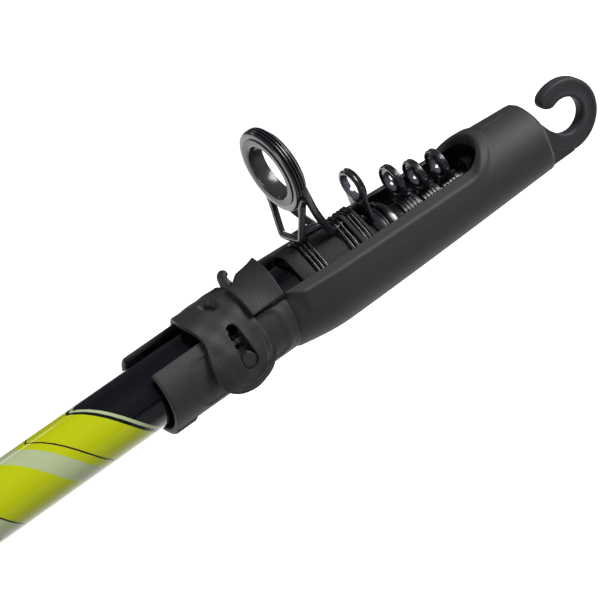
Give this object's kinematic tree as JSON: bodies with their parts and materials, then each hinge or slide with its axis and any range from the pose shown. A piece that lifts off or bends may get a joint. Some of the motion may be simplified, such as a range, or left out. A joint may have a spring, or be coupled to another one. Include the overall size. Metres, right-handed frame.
{
  "type": "telescopic spinning rod",
  "caption": "Telescopic spinning rod pushed together for carrying: lacquered blank, line guides on their sections, slotted tip cap with hook and rubber strap, reel seat and foam grips.",
  "frame": {"origin": "centre of the butt cap's end face", "axes": "+X along the rod to the tip, +Z to the side of the guides and the reel, +Y to the left"},
  "size_m": [0.5822, 0.0286, 0.0601],
  "materials": {
    "blank_lacquer": "clear lacquer over printed fibre",
    "section_lacquer": "clear lacquer over carbon fibre",
    "foam": "closed-cell foam",
    "rubber": "matte",
    "cap_plastic": "moulded, fine grain",
    "seat_plastic": "moulded",
    "hood_metal": "anodised",
    "guide_metal": "black plated",
    "ring_hard": "polished",
    "small_ring": "polished",
    "whipping": "thread under resin",
    "wrap": "bound cloth under resin",
    "trim": "anodised",
    "thread_metal": "turned"
  },
  "bodies": {
    "rod_butt": {"butt_blank": "blank_lacquer", "butt_sleeve": "thread_metal", "rear_grip": "foam", "seat_tube": "seat_plastic", "fixed_hood": "hood_metal", "fore_grip": "foam", "trim_ring": "trim", "guide_1_wrap": "wrap", "guide_1_saddle": "wrap", "guide_1_frame": "guide_metal", "guide_1_insert": "ring_hard", "guide_1_rear_whipping": "whipping", "guide_1_front_whipping": "whipping"},
    "butt_washer": {"butt_washer": "rubber"},
    "butt_cap": {"butt_cap": "hood_metal", "butt_pad": "rubber"},
    "moving_hood": {"moving_hood": "hood_metal"},
    "lock_nut": {"lock_nut": "hood_metal"},
    "section_2": {"section_2": "section_lacquer", "guide_2_frame": "guide_metal", "guide_2_insert": "small_ring", "guide_2_whipping": "whipping"},
    "section_3": {"section_3": "section_lacquer", "guide_3_frame": "guide_metal", "guide_3_insert": "small_ring"},
    "section_4": {"section_4": "section_lacquer", "guide_4_frame": "guide_metal", "guide_4_insert": "small_ring"},
    "section_5": {"section_5": "section_lacquer", "guide_5_frame": "guide_metal", "guide_5_insert": "small_ring"},
    "tip_section": {"section_6": "section_lacquer", "tip_top": "guide_metal", "tip_insert": "small_ring"},
    "tip_cap": {"tip_cap": "cap_plastic", "cap_strap": "rubber"}
  },
  "joints": [
    {"name": "draw_section_2", "type": "slide", "parent": "rod_butt", "child": "section_2", "axis": [1, 0, 0], "range_m": [0, 0.425], "deforming": ["cap_strap"]},
    {"name": "draw_section_3", "type": "slide", "parent": "section_2", "child": "section_3", "axis": [1, 0, 0], "range_m": [0, 0.434], "deforming": ["cap_strap"]},
    {"name": "draw_section_4", "type": "slide", "parent": "section_3", "child": "section_4", "axis": [1, 0, 0], "range_m": [0, 0.443], "deforming": ["cap_strap"]},
    {"name": "draw_section_5", "type": "slide", "parent": "section_4", "child": "section_5", "axis": [1, 0, 0], "range_m": [0, 0.4504], "deforming": ["cap_strap"]},
    {"name": "draw_tip_section", "type": "slide", "parent": "section_5", "child": "tip_section", "axis": [1, 0, 0], "range_m": [0, 0.4578], "deforming": ["cap_strap"]},
    {"name": "cap_off", "type": "slide", "parent": "tip_section", "child": "tip_cap", "axis": [1, 0, 0], "range_m": [0, 0.15], "deforming": ["cap_strap"]},
    {"name": "hood_slide", "type": "slide", "parent": "rod_butt", "child": "moving_hood", "axis": [-1, 0, 0], "range_m": [-0.01, 0.02]},
    {"name": "nut_turn", "type": "hinge", "parent": "moving_hood", "child": "lock_nut", "pos_m": [0.2495, 0, 0], "axis": [-1, 0, 0], "range_deg": [-1800, 3600]},
    {"name": "butt_cap_draw", "type": "slide", "parent": "rod_butt", "child": "butt_washer", "axis": [-1, 0, 0], "range_m": [0, 0.0075]},
    {"name": "butt_cap_turn", "type": "hinge", "parent": "butt_washer", "child": "butt_cap", "pos_m": [0.006, 0, 0], "axis": [-1, 0, 0], "range_deg": [0, 1800]}
  ],
  "couplings": [
    {"joint": "nut_turn", "follows": "hood_slide", "rad_per_m": 3141.6},
    {"joint": "butt_cap_turn", "follows": "butt_cap_draw", "rad_per_m": 4188.8}
  ]
}
